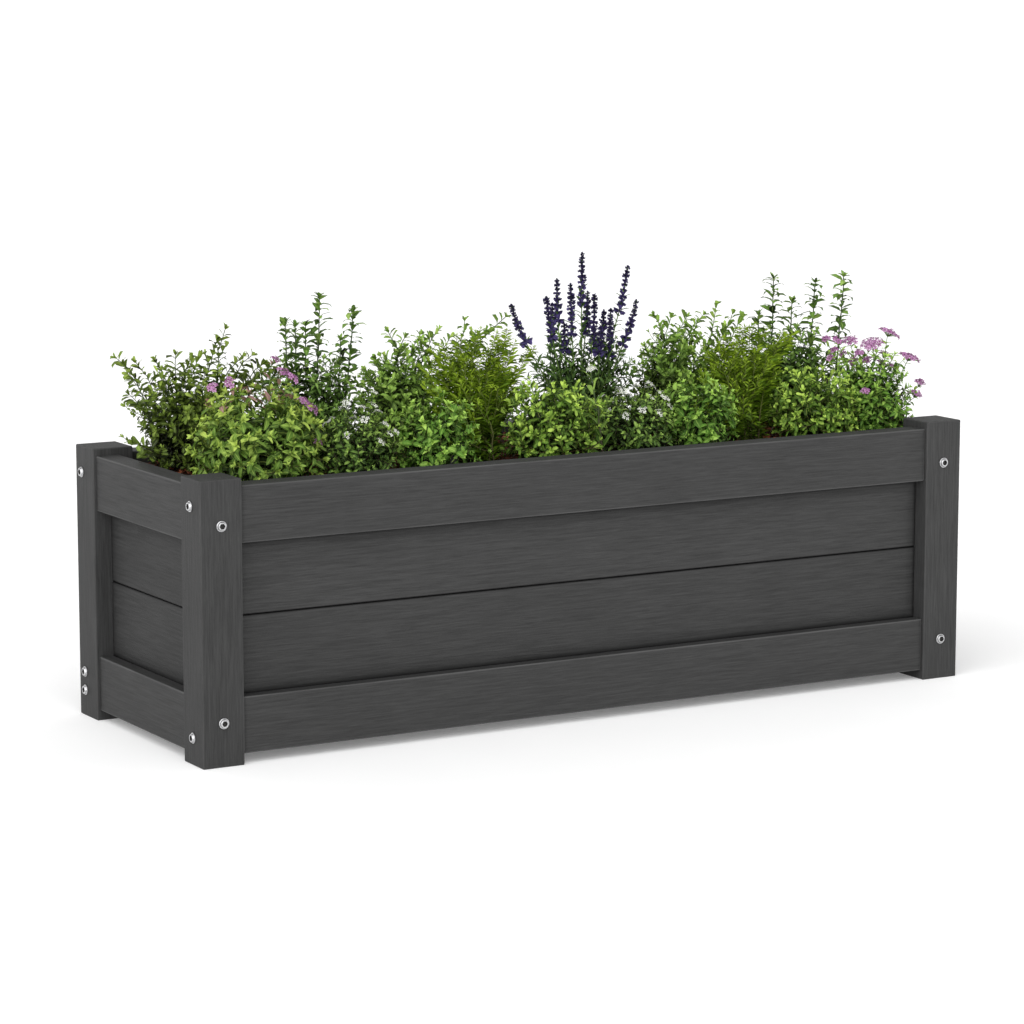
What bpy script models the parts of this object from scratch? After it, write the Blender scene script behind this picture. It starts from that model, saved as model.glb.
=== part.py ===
"""Planted raised bed: a dark painted timber box on four corner posts, bolted together,
with a slatted floor, potting soil, a bark mulch top and two rows of flowering shrubs.

Metres, +Z up. The origin is on the ground under the middle of the box. X runs along
the long sides and -Y is the front.
"""
import math

import bmesh
import bpy
from mathutils import Vector

# ---------------------------------------------------------------- driving dimensions
LENGTH = 1.200            # over the posts, along X
DEPTH = 0.400             # over the posts, along Y
HEIGHT = 0.375            # the posts' height
POST = 0.059              # square section of a post
FIT_GAP = 0.0003          # clearance between pieces that touch
EDGE_ROUND = 0.0015       # eased edges of the timber
EDGE_STEPS = 2

RAIL_THICK = 0.034
RAIL_TALL = 0.075
RAIL_INSET = 0.0045       # from the posts' outer faces to the rails'
UPPER_RAIL_BOTTOM = 0.290
LOWER_RAIL_BOTTOM = 0.014
REBATE = 0.010            # height of the step that the planks sit in

PLANK_INSET = 0.0245      # from the posts' outer faces to the planks'
PLANK_SEAM = 0.192        # height of the joint between two planks
SEAM_GAP = 0.0008

BEARER_TALL = 0.025
BEARER_WIDE = 0.045
BEARER_BOTTOM = 0.020
BEARER_PLACES = (-0.470, 0.0, 0.470)
FLOOR_THICK = 0.012
DRAIN_GAP = 0.004         # between the two floor boards

SOIL_GAP = 0.0005         # from the soil to the timber round it
SOIL_TOP = 0.330
MULCH_TOP = 0.348
ROOT_RADIUS = 0.020       # a plant's root ball
POCKET_RADIUS = 0.0205    # the pocket it stands in
ROOT_BOTTOM = 0.290
POCKET_BOTTOM = 0.2895
ROUND_SIDES = 12

BOLT_SIDES = 12
SHANK_RADIUS = 0.003
HOLE_RADIUS = 0.0034
BOLT_REACH = 0.035        # how far a bolt goes into the end of a rail
HOLE_SPARE = 0.002
UPPER_BOLT_LONG_FACE = 0.315
LOWER_BOLT_LONG_FACE = 0.058
UPPER_BOLT_END_FACE = 0.339
LOWER_BOLT_END_FACE = 0.0365
EXTRA_BOLT_END_FACE = 0.062
BACK_LOWER_BOLT = 0.0495  # clear of the end bolts that cross the same post
BACK_END_INSET = 0.0205   # end-face bolts of the back posts, from the back face

FOLIAGE_BOTTOM = 0.352
CROWN_RADIUS = 0.012
LOBE_DEPTH = 0.09
FAN = ((0.03, 0.25), (0.20, 0.32), (0.40, 0.52), (0.62, 0.90), (0.85, 0.60), (1.0, 0.18))
LEAN_ENDS = 0.5           # the part of the foliage's height where a lean is complete
SHOOT_SIDES = 7
SHOOT_ROOT = 0.400        # height inside the foliage where the shoots start
SHOOT_SPREAD = 0.25       # how much of a tip's offset its root already has
BRANCH_BOW = 0.012        # how far an arching branch rises above its chord
DOME = ((0.03, 0.55), (0.20, 0.84), (0.45, 0.91), (0.70, 0.74), (0.88, 0.48), (1.0, 0.16))
FRONT_ROW = -0.084
BACK_ROW = 0.084

# ---------------------------------------------------------------- worked out from them
HALF_LENGTH = LENGTH / 2
HALF_DEPTH = DEPTH / 2
RAIL_INNER = RAIL_INSET + RAIL_THICK
LOWER_RAIL_TOP = LOWER_RAIL_BOTTOM + RAIL_TALL
UPPER_RAIL_TOP = UPPER_RAIL_BOTTOM + RAIL_TALL
FLOOR_BOTTOM = BEARER_BOTTOM + BEARER_TALL + FIT_GAP
FLOOR_TOP = FLOOR_BOTTOM + FLOOR_THICK


# ---------------------------------------------------------------- materials
def make_material(name, colour, roughness, metallic=0.0):
    material = bpy.data.materials.new(name)
    material.use_nodes = True
    shader = material.node_tree.nodes["Principled BSDF"]
    shader.inputs["Base Color"].default_value = (*colour, 1.0)
    shader.inputs["Roughness"].default_value = roughness
    shader.inputs["Metallic"].default_value = metallic
    material.diffuse_color = (*colour, 1.0)
    return material


def make_materials():
    return {
        "painted_wood": make_material("painted_wood", (0.068, 0.069, 0.070), 0.62),
        "zinc": make_material("zinc", (0.62, 0.62, 0.61), 0.28, 1.0),
        "soil": make_material("soil", (0.035, 0.022, 0.014), 0.95),
        "bark": make_material("bark", (0.16, 0.055, 0.030), 0.90),
        "leaf_dark": make_material("leaf_dark", (0.030, 0.075, 0.014), 0.45),
        "leaf_mid": make_material("leaf_mid", (0.055, 0.145, 0.022), 0.45),
        "leaf_lime": make_material("leaf_lime", (0.140, 0.260, 0.030), 0.45),
        "leaf_olive": make_material("leaf_olive", (0.100, 0.180, 0.016), 0.45),
        "flower_violet": make_material("flower_violet", (0.045, 0.022, 0.130), 0.60),
        "flower_pink": make_material("flower_pink", (0.350, 0.110, 0.380), 0.60),
    }


# ---------------------------------------------------------------- mesh helpers
def add_object(name, mesh, material):
    obj = bpy.data.objects.new(name, mesh)
    bpy.context.scene.collection.objects.link(obj)
    if material:
        mesh.materials.append(material)
    return obj


def mesh_from(name, bm):
    bmesh.ops.recalc_face_normals(bm, faces=bm.faces)
    mesh = bpy.data.meshes.new(name)
    bm.to_mesh(mesh)
    bm.free()
    return mesh


def box_mesh(name, low, high):
    bm = bmesh.new()
    bmesh.ops.create_cube(bm, size=1.0)
    for vert in bm.verts:
        vert.co = Vector(
            low[i] + (vert.co[i] + 0.5) * (high[i] - low[i]) for i in range(3))
    return mesh_from(name, bm)


def prism_mesh(name, outline, place, start, end):
    """Extrude a flat outline: place(u, v, w) turns it and its height w into a point."""
    bm = bmesh.new()
    face = bm.faces.new([bm.verts.new(place(u, v, start)) for u, v in outline])
    travel = Vector(place(*outline[0], end)) - Vector(place(*outline[0], start))
    grown = bmesh.ops.extrude_face_region(bm, geom=[face])["geom"]
    moved = [item for item in grown if isinstance(item, bmesh.types.BMVert)]
    bmesh.ops.translate(bm, verts=moved, vec=travel)
    return mesh_from(name, bm)


def loft(bm, rings):
    """Skin a stack of rings with the same number of points and cap both ends."""
    loops = [[bm.verts.new(point) for point in ring] for ring in rings]
    sides = len(loops[0])
    for lower, upper in zip(loops, loops[1:]):
        for i in range(sides):
            j = (i + 1) % sides
            bm.faces.new((lower[i], lower[j], upper[j], upper[i]))
    bm.faces.new(list(reversed(loops[0])))
    bm.faces.new(loops[-1])


def ring(centre, radius_x, radius_y, sides, wobble=None):
    points = []
    for i in range(sides):
        angle = 2 * math.pi * i / sides
        swell = wobble(angle) if wobble else 1.0
        points.append(Vector(centre) + Vector((
            radius_x * swell * math.cos(angle), radius_y * swell * math.sin(angle), 0)))
    return points


def ease_edges(obj):
    bevel = obj.modifiers.new("eased_edges", "BEVEL")
    bevel.width = EDGE_ROUND
    bevel.segments = EDGE_STEPS
    bevel.limit_method = "ANGLE"


def boolean(obj, other, operation):
    modifier = obj.modifiers.new(operation.lower(), "BOOLEAN")
    modifier.operation = operation
    modifier.object = other
    modifier.solver = "EXACT"


def hide_tool(obj):
    obj.hide_render = True
    obj.display_type = "WIRE"


# ---------------------------------------------------------------- bolts
def bolt_sites():
    """Name, head centre on the post's face, direction into the timber, post, rail."""
    half_post = POST / 2
    sites = []
    for end, x_sign in (("left", -1), ("right", 1)):
        post_x = x_sign * (HALF_LENGTH - half_post)
        for side, y_sign in (("front", -1), ("back", 1)):
            post = f"post_{side}_{end}"
            face_y = y_sign * HALF_DEPTH
            lower = LOWER_BOLT_LONG_FACE if side == "front" else BACK_LOWER_BOLT
            for level, z in (("upper", UPPER_BOLT_LONG_FACE), ("lower", lower)):
                sites.append((f"bolt_{side}_{end}_{level}", Vector((post_x, face_y, z)),
                              Vector((0, -y_sign, 0)), post, f"rail_{end}_{level}"))
            inset = half_post if side == "front" else BACK_END_INSET
            end_y = y_sign * (HALF_DEPTH - inset)
            levels = [("upper", "upper", UPPER_BOLT_END_FACE),
                      ("lower", "lower", LOWER_BOLT_END_FACE)]
            if (side, end) == ("back", "left"):
                levels.append(("middle", "lower", EXTRA_BOLT_END_FACE))
            for label, level, z in levels:
                sites.append((f"bolt_{end}_{side}_{label}",
                              Vector((x_sign * HALF_LENGTH, end_y, z)),
                              Vector((-x_sign, 0, 0)), post, f"rail_{side}_{level}"))
    return sites


def along(site, direction, distance):
    """The turn that points +Z against the bolt's direction, and the shifted place."""
    turn = Vector((0, 0, 1)).rotation_difference(-direction)
    return site + direction * distance, turn


def hole_cutter(name, site, direction):
    bm = bmesh.new()
    depth = POST + BOLT_REACH + HOLE_SPARE
    loft(bm, [ring((0, 0, z), HOLE_RADIUS, HOLE_RADIUS, BOLT_SIDES)
              for z in (-depth, POST / 4)])
    cutter = add_object(f"cut_{name}", mesh_from(name, bm), None)
    cutter.rotation_mode = "QUATERNION"
    cutter.location, cutter.rotation_quaternion = along(site, direction, 0.0)
    hide_tool(cutter)
    return cutter


def bolt_mesh():
    """A flanged button-head bolt with a hexagon socket, its head's underside at z = 0."""
    flat = math.cos(math.pi / 6)
    profile = [                       # radius, height, whether the ring is a hexagon
        (SHANK_RADIUS, -POST - BOLT_REACH, False), (SHANK_RADIUS, 0.0, False),
        (0.0071, 0.0, False), (0.0071, 0.0010, False), (0.0060, 0.0016, False),
        (0.0041, 0.0036, False), (0.0026, 0.0039, True), (0.0026, 0.0016, True)]
    bm = bmesh.new()
    rings = []
    for radius, height, is_hexagon in profile:
        points = ring((0, 0, height), radius, radius, BOLT_SIDES)
        if is_hexagon:
            for i in range(1, BOLT_SIDES, 2):
                points[i].x *= flat
                points[i].y *= flat
        rings.append(points)
    loft(bm, rings)
    mesh = mesh_from("bolt", bm)
    mesh.shade_smooth()
    mesh.set_sharp_from_angle(angle=math.radians(35))
    return mesh


def build_bolts(material):
    """Make the bolts and return the hole cutters for each timber's name."""
    mesh = bolt_mesh()
    mesh.materials.append(material)
    cutters = {}
    for name, site, direction, post, rail in bolt_sites():
        bolt = add_object(name, mesh, None)
        bolt.rotation_mode = "QUATERNION"
        bolt.location, bolt.rotation_quaternion = along(site, direction, -FIT_GAP)
        cutter = hole_cutter(name, site, direction)
        for timber in (post, rail):
            cutters.setdefault(timber, []).append(cutter)
    return cutters


# ---------------------------------------------------------------- timber
def timber(name, mesh, material, cutters):
    obj = add_object(name, mesh, material)
    ease_edges(obj)
    for cutter in cutters.get(name, ()):
        boolean(obj, cutter, "DIFFERENCE")


def build_posts(material, cutters):
    for end, x_sign in (("left", -1), ("right", 1)):
        for side, y_sign in (("front", -1), ("back", 1)):
            xs = sorted((x_sign * HALF_LENGTH, x_sign * (HALF_LENGTH - POST)))
            ys = sorted((y_sign * HALF_DEPTH, y_sign * (HALF_DEPTH - POST)))
            name = f"post_{side}_{end}"
            mesh = box_mesh(name, (xs[0], ys[0], 0.0), (xs[1], ys[1], HEIGHT))
            timber(name, mesh, material, cutters)


def rail_outline(is_upper):
    """Section of a rail as (distance from the posts' outer face, height)."""
    bottom = UPPER_RAIL_BOTTOM if is_upper else LOWER_RAIL_BOTTOM
    top = bottom + RAIL_TALL
    step = PLANK_INSET - FIT_GAP
    if is_upper:
        return [(RAIL_INSET, bottom), (step, bottom), (step, bottom + REBATE),
                (RAIL_INNER, bottom + REBATE), (RAIL_INNER, top), (RAIL_INSET, top)]
    return [(RAIL_INSET, bottom), (RAIL_INNER, bottom), (RAIL_INNER, top - REBATE),
            (step, top - REBATE), (step, top), (RAIL_INSET, top)]


def sides_of_box():
    """Side name, a place function for (inset, height, run) and half the clear run."""
    half_long = HALF_LENGTH - POST - FIT_GAP
    half_short = HALF_DEPTH - POST - FIT_GAP
    return [
        ("front", lambda inset, z, run: (run, inset - HALF_DEPTH, z), half_long),
        ("back", lambda inset, z, run: (run, HALF_DEPTH - inset, z), half_long),
        ("left", lambda inset, z, run: (inset - HALF_LENGTH, run, z), half_short),
        ("right", lambda inset, z, run: (HALF_LENGTH - inset, run, z), half_short)]


def build_rails(material, cutters):
    for side, place, half_run in sides_of_box():
        for level in ("upper", "lower"):
            name = f"rail_{side}_{level}"
            outline = rail_outline(level == "upper")
            mesh = prism_mesh(name, outline, place, -half_run, half_run)
            timber(name, mesh, material, cutters)


def build_planks(material):
    bottom = LOWER_RAIL_TOP - REBATE + FIT_GAP
    top = UPPER_RAIL_BOTTOM + REBATE - FIT_GAP
    bands = {"lower": (bottom, PLANK_SEAM - SEAM_GAP / 2),
             "upper": (PLANK_SEAM + SEAM_GAP / 2, top)}
    for side, place, half_run in sides_of_box():
        for level, (low, high) in bands.items():
            outline = [(PLANK_INSET, low), (RAIL_INNER, low),
                       (RAIL_INNER, high), (PLANK_INSET, high)]
            name = f"plank_{side}_{level}"
            mesh = prism_mesh(name, outline, place, -half_run, half_run)
            timber(name, mesh, material, {})


def build_bearers(material):
    reach = HALF_DEPTH - RAIL_INNER - FIT_GAP
    half_wide = BEARER_WIDE / 2
    for label, x in zip(("left", "middle", "right"), BEARER_PLACES):
        name = f"bearer_{label}"
        mesh = box_mesh(name, (x - half_wide, -reach, BEARER_BOTTOM),
                        (x + half_wide, reach, BEARER_BOTTOM + BEARER_TALL))
        timber(name, mesh, material, {})


def upright(x, y, z):
    return x, y, z


def build_floor(material):
    """Two boards lie on the bearers, notched round the posts."""
    gap = 2 * FIT_GAP
    reach_x = HALF_LENGTH - RAIL_INNER - gap
    reach_y = HALF_DEPTH - RAIL_INNER - gap
    notch_x = HALF_LENGTH - POST - gap
    notch_y = HALF_DEPTH - POST - gap
    edge = DRAIN_GAP / 2
    outline = [(-reach_x, edge), (reach_x, edge), (reach_x, notch_y), (notch_x, notch_y),
               (notch_x, reach_y), (-notch_x, reach_y), (-notch_x, notch_y),
               (-reach_x, notch_y)]
    for label, y_sign in (("front", -1), ("back", 1)):
        name = f"floor_board_{label}"
        turned = [(x, y_sign * y) for x, y in outline]
        mesh = prism_mesh(name, turned, upright, FLOOR_BOTTOM, FLOOR_TOP)
        timber(name, mesh, material, {})


# ---------------------------------------------------------------- soil and mulch
def bed_outline():
    """The bed's inside, with a notch round the part of each post that stands in it."""
    x_far = HALF_LENGTH - RAIL_INNER - SOIL_GAP
    y_far = HALF_DEPTH - RAIL_INNER - SOIL_GAP
    x_near = HALF_LENGTH - POST - SOIL_GAP
    y_near = HALF_DEPTH - POST - SOIL_GAP
    quarter = [(x_far, y_near), (x_near, y_near), (x_near, y_far)]
    points = []
    for x_sign, y_sign in ((1, 1), (-1, 1), (-1, -1), (1, -1)):
        corner = [(x_sign * x, y_sign * y) for x, y in quarter]
        points += corner if x_sign * y_sign > 0 else reversed(corner)
    return points


def pocket_cutter(places):
    bm = bmesh.new()
    for x, y in places:
        loft(bm, [ring((x, y, z), POCKET_RADIUS, POCKET_RADIUS, ROUND_SIDES)
                  for z in (POCKET_BOTTOM, HEIGHT)])
    cutter = add_object("cut_planting_pockets", mesh_from("pockets", bm), None)
    hide_tool(cutter)
    return cutter


def build_bed(materials, places):
    pockets = pocket_cutter(places)
    layers = (("soil", "soil", FLOOR_TOP + FIT_GAP, SOIL_TOP),
              ("bark_mulch", "bark", SOIL_TOP + FIT_GAP, MULCH_TOP))
    for name, finish, bottom, top in layers:
        mesh = prism_mesh(name, bed_outline(), upright, bottom, top)
        layer = add_object(name, mesh, materials[finish])
        boolean(layer, pockets, "DIFFERENCE")


# ---------------------------------------------------------------- plants
def mound(root, canopy, radius_x, radius_y, top, lobes, phase):
    """A root ball, a short crown and a domed mass of foliage with soft lobes.

    A plant whose canopy isn't over its root leans, and is slender until it gets there.
    """
    def wobble(angle):
        return 1.0 + LOBE_DEPTH * math.sin(lobes * angle + phase)

    rings = [ring((*root, z), ROOT_RADIUS, ROOT_RADIUS, ROUND_SIDES)
             for z in (ROOT_BOTTOM, SOIL_TOP)]
    rings += [ring((*root, z), CROWN_RADIUS, CROWN_RADIUS, ROUND_SIDES)
              for z in (MULCH_TOP, FOLIAGE_BOTTOM)]
    for height, spread in FAN if root != canopy else DOME:
        part = min(1.0, height / LEAN_ENDS)
        x, y = (a + (b - a) * part for a, b in zip(root, canopy))
        z = FOLIAGE_BOTTOM + (top - FOLIAGE_BOTTOM) * height
        rings.append(ring((x, y, z), radius_x * spread, radius_y * spread,
                          ROUND_SIDES, wobble))
    bm = bmesh.new()
    loft(bm, rings)
    return bm


def stalk(start, end, profile, bow=0.0):
    """A tapered shoot from start to end; profile is (part of the way, radius) pairs."""
    bm = bmesh.new()
    start, end = Vector(start), Vector(end)
    rings = []
    for part, radius in profile:
        centre = start.lerp(end, part)
        centre.z += bow * math.sin(math.pi * part)
        rings.append(ring(centre, radius, radius, SHOOT_SIDES))
    loft(bm, rings)
    return bm


def spire(start, end):
    """A leafy shoot."""
    return stalk(start, end, ((0.0, 0.012), (0.35, 0.014), (0.75, 0.009), (1.0, 0.002)))


def flower_spike(start, end):
    """A bare stem that turns into a tapered spike of small flowers."""
    profile = ((0.0, 0.006), (0.30, 0.006), (0.45, 0.011), (0.85, 0.007), (1.0, 0.002))
    return stalk(start, end, profile)


def arching_branch(start, end):
    profile = ((0.0, 0.016), (0.5, 0.012), (0.85, 0.008), (1.0, 0.003))
    return stalk(start, end, profile, bow=BRANCH_BOW)


def flower_head(start, end):
    """A thin stem that opens into a flat-topped cluster of flowers."""
    profile = ((0.0, 0.005), (0.80, 0.004), (0.88, 0.014), (0.97, 0.016), (1.0, 0.009))
    return stalk(start, end, profile)


def build_plant(name, material, body, shoots=()):
    plant = add_object(name, mesh_from(name, body), material)
    for number, shoot in enumerate(shoots):
        part = add_object(f"grow_{name}_{number}", mesh_from(f"{name}_shoot", shoot), None)
        hide_tool(part)
        boolean(plant, part, "UNION")


# name, finish, canopy x and y, radius along X, radius along Y, top, lobes
PLANTS = (
    ("shrub_pink", "leaf_lime", -0.460, FRONT_ROW, 0.092, 0.080, 0.495, 5),
    ("alyssum_left", "leaf_mid", -0.316, FRONT_ROW, 0.050, 0.080, 0.452, 4),
    ("mint_left", "leaf_mid", -0.202, FRONT_ROW, 0.058, 0.080, 0.452, 5),
    ("boxleaf_centre", "leaf_lime", -0.018, FRONT_ROW, 0.073, 0.080, 0.462, 5),
    ("alyssum_right", "leaf_mid", 0.118, FRONT_ROW, 0.060, 0.080, 0.440, 4),
    ("mint_right", "leaf_mid", 0.230, FRONT_ROW, 0.050, 0.080, 0.450, 5),
    ("boxleaf_right", "leaf_lime", 0.428, FRONT_ROW, 0.060, 0.080, 0.448, 5),
    ("verbena", "leaf_mid", 0.524, -0.070, 0.032, 0.065, 0.432, 4),
    ("honeysuckle_left", "leaf_dark", -0.494, BACK_ROW, 0.072, 0.078, 0.470, 5),
    ("spurge_left", "leaf_mid", -0.302, BACK_ROW, 0.075, 0.078, 0.458, 4),
    ("honeysuckle_centre", "leaf_mid", -0.165, BACK_ROW, 0.055, 0.078, 0.490, 4),
    ("fern_centre", "leaf_olive", -0.035, BACK_ROW, 0.072, 0.078, 0.495, 5),
    ("salvia", "flower_violet", 0.128, BACK_ROW, 0.085, 0.078, 0.440, 5),
    ("honeysuckle_right", "leaf_mid", 0.265, BACK_ROW, 0.048, 0.078, 0.490, 4),
    ("fern_right", "leaf_olive", 0.372, BACK_ROW, 0.052, 0.078, 0.485, 5),
    ("spurge_right", "leaf_mid", 0.492, BACK_ROW, 0.060, 0.078, 0.455, 4),
)

# The two ferns stand in the front row, and their canopies lean over the back row.
LEANING_ROOTS = {"fern_centre": (-0.118, -0.075), "fern_right": (0.316, -0.075)}

# For each plant: its shoots' shape, and for each of them the tip's x and y from the
# canopy's centre and its height.
SHOOTS = {
    "shrub_pink": (flower_head, (
        (-0.055, 0.000, 0.508), (0.020, 0.020, 0.515), (0.065, -0.010, 0.468))),
    "verbena": (flower_head, (
        (-0.012, 0.045, 0.505), (0.030, 0.058, 0.510), (0.064, 0.050, 0.470))),
    "honeysuckle_left": (arching_branch, (
        (-0.085, 0.000, 0.510), (-0.010, 0.020, 0.515), (0.066, 0.010, 0.548))),
    "honeysuckle_centre": (arching_branch, ((-0.030, 0.000, 0.528), (0.045, 0.020, 0.522))),
    "fern_centre": (arching_branch, ((-0.020, 0.020, 0.540), (0.070, 0.000, 0.525))),
    "honeysuckle_right": (arching_branch, ((-0.015, 0.000, 0.527), (0.040, 0.020, 0.512))),
    "fern_right": (arching_branch, ((0.000, 0.010, 0.538), (0.040, 0.000, 0.515))),
    "spurge_left": (spire, (
        (-0.042, 0.010, 0.552), (-0.012, 0.025, 0.548), (0.016, 0.005, 0.585),
        (0.044, 0.020, 0.525), (0.066, 0.000, 0.562))),
    "spurge_right": (spire, (
        (-0.048, 0.010, 0.520), (-0.020, 0.020, 0.574), (0.014, 0.000, 0.538),
        (0.042, 0.020, 0.570))),
    "salvia": (flower_spike, (
        (-0.082, 0.000, 0.552), (-0.050, 0.010, 0.563), (-0.030, 0.030, 0.585),
        (-0.010, -0.010, 0.577), (0.010, 0.015, 0.620), (0.032, 0.035, 0.558),
        (0.050, 0.000, 0.535), (0.066, 0.025, 0.597), (0.084, 0.005, 0.540))),
}


def plant_shoots(name, x, y):
    shape, tips = SHOOTS.get(name, (None, ()))
    return [shape((x + dx * SHOOT_SPREAD, y + dy * SHOOT_SPREAD, SHOOT_ROOT),
                  (x + dx, y + dy, top)) for dx, dy, top in tips]


def root_of(name, x, y):
    return LEANING_ROOTS.get(name, (x, y))


def build_plants(materials):
    for number, (name, finish, x, y, radius_x, radius_y, top, lobes) in enumerate(PLANTS):
        body = mound(root_of(name, x, y), (x, y), radius_x, radius_y, top, lobes, number)
        build_plant(name, materials[finish], body, plant_shoots(name, x, y))


def main():
    for obj in list(bpy.data.objects):
        bpy.data.objects.remove(obj, do_unlink=True)
    materials = make_materials()
    cutters = build_bolts(materials["zinc"])
    wood = materials["painted_wood"]
    build_posts(wood, cutters)
    build_rails(wood, cutters)
    build_planks(wood)
    build_bearers(wood)
    build_floor(wood)
    build_bed(materials, [root_of(name, x, y) for name, _, x, y, *_ in PLANTS])
    build_plants(materials)


main()
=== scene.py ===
"""The look of the planted raised bed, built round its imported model."""
import math

import bpy
import numpy as np
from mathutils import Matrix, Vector


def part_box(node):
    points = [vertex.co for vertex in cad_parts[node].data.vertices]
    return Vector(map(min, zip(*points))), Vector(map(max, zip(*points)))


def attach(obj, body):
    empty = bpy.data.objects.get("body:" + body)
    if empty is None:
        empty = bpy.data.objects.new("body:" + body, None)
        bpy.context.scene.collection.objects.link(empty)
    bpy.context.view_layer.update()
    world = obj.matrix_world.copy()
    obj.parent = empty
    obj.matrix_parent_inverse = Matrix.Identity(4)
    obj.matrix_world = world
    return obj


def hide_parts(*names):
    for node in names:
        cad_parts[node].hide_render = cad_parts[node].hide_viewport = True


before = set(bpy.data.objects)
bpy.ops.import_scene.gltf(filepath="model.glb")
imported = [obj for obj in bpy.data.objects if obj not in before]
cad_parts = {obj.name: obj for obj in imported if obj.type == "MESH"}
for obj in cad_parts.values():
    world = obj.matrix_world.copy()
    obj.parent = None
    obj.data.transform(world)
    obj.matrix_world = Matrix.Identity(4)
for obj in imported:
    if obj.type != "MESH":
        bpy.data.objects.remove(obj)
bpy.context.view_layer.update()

RAIL_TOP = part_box("rail_front_upper")[1][2]
POST_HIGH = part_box("post_front_left")[1]  # its inner corner, at the top
SOIL_LOW, SOIL_HIGH = (np.array(c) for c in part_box("bark_mulch"))
GROUND = float(SOIL_HIGH[2])
BODY = "root"
UP = np.array((0, 0, 1))
FULL_TURN = 2 * math.pi

# ---- camera, light and floor
CAMERA_TARGET = (-0.037, -0.016, 0.266)
CAMERA_AZIMUTH = -29.92  # degrees from straight ahead, towards the left end
CAMERA_ELEVATION = 9.02
CAMERA_DISTANCE = 4.95
CAMERA_LENS = 124.7
CAMERA_REACH = 400
SUN_DIRECTION = (-0.5, -0.56, 0.57)  # towards the light
SUN_ENERGY = 2.5
SUN_WIDTH = 85  # degrees across, as a large soft box
SKY = ((0, 1.52), (1, 0.2))  # brightness at the horizon and straight up
FLOOR_HALF = 120
FLOOR_TONES = (0.89, 0.91)
FLOOR_GLOW = 0.15


def in_scene(name, data):
    obj = bpy.data.objects.new(name, data)
    bpy.context.scene.collection.objects.link(obj)
    return obj


def aim(obj, direction, axis):
    obj.rotation_mode = "QUATERNION"
    obj.rotation_quaternion = direction.to_track_quat(axis, "Y")


def make_camera():
    azimuth, elevation = math.radians(CAMERA_AZIMUTH), math.radians(CAMERA_ELEVATION)
    back = Vector((math.sin(azimuth) * math.cos(elevation),
                   -math.cos(azimuth) * math.cos(elevation), math.sin(elevation)))
    data = bpy.data.cameras.new("camera")
    data.lens, data.clip_end = CAMERA_LENS, CAMERA_REACH
    camera = in_scene("camera", data)
    camera.location = Vector(CAMERA_TARGET) + back * CAMERA_DISTANCE
    aim(camera, -back, "-Z")
    bpy.context.scene.camera = camera


def make_light():
    bpy.context.scene.view_settings.view_transform = "Standard"
    net = Net("studio", "worlds", "Background")
    net.put(net.shader.inputs["Color"], net.ramp(net.axes("Generated")[2], *SKY))
    bpy.context.scene.world = net.data
    data = bpy.data.lights.new("key", "SUN")
    data.energy, data.angle = SUN_ENERGY, math.radians(SUN_WIDTH)
    aim(in_scene("key", data), Vector(SUN_DIRECTION), "Z")


def make_floor():
    mesh = bpy.data.meshes.new("floor")
    corners = ((-1, -1), (1, -1), (1, 1), (-1, 1))
    mesh.from_pydata([(x * FLOOR_HALF, y * FLOOR_HALF, 0) for x, y in corners], [],
                     [(0, 1, 2, 3)])
    net = Net("pale_floor")
    mesh.materials.append(
        net.shade(net.spread(net.noise(9, 4), *FLOOR_TONES), 0.9, glow=FLOOR_GLOW))
    in_scene("floor", mesh)


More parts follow.
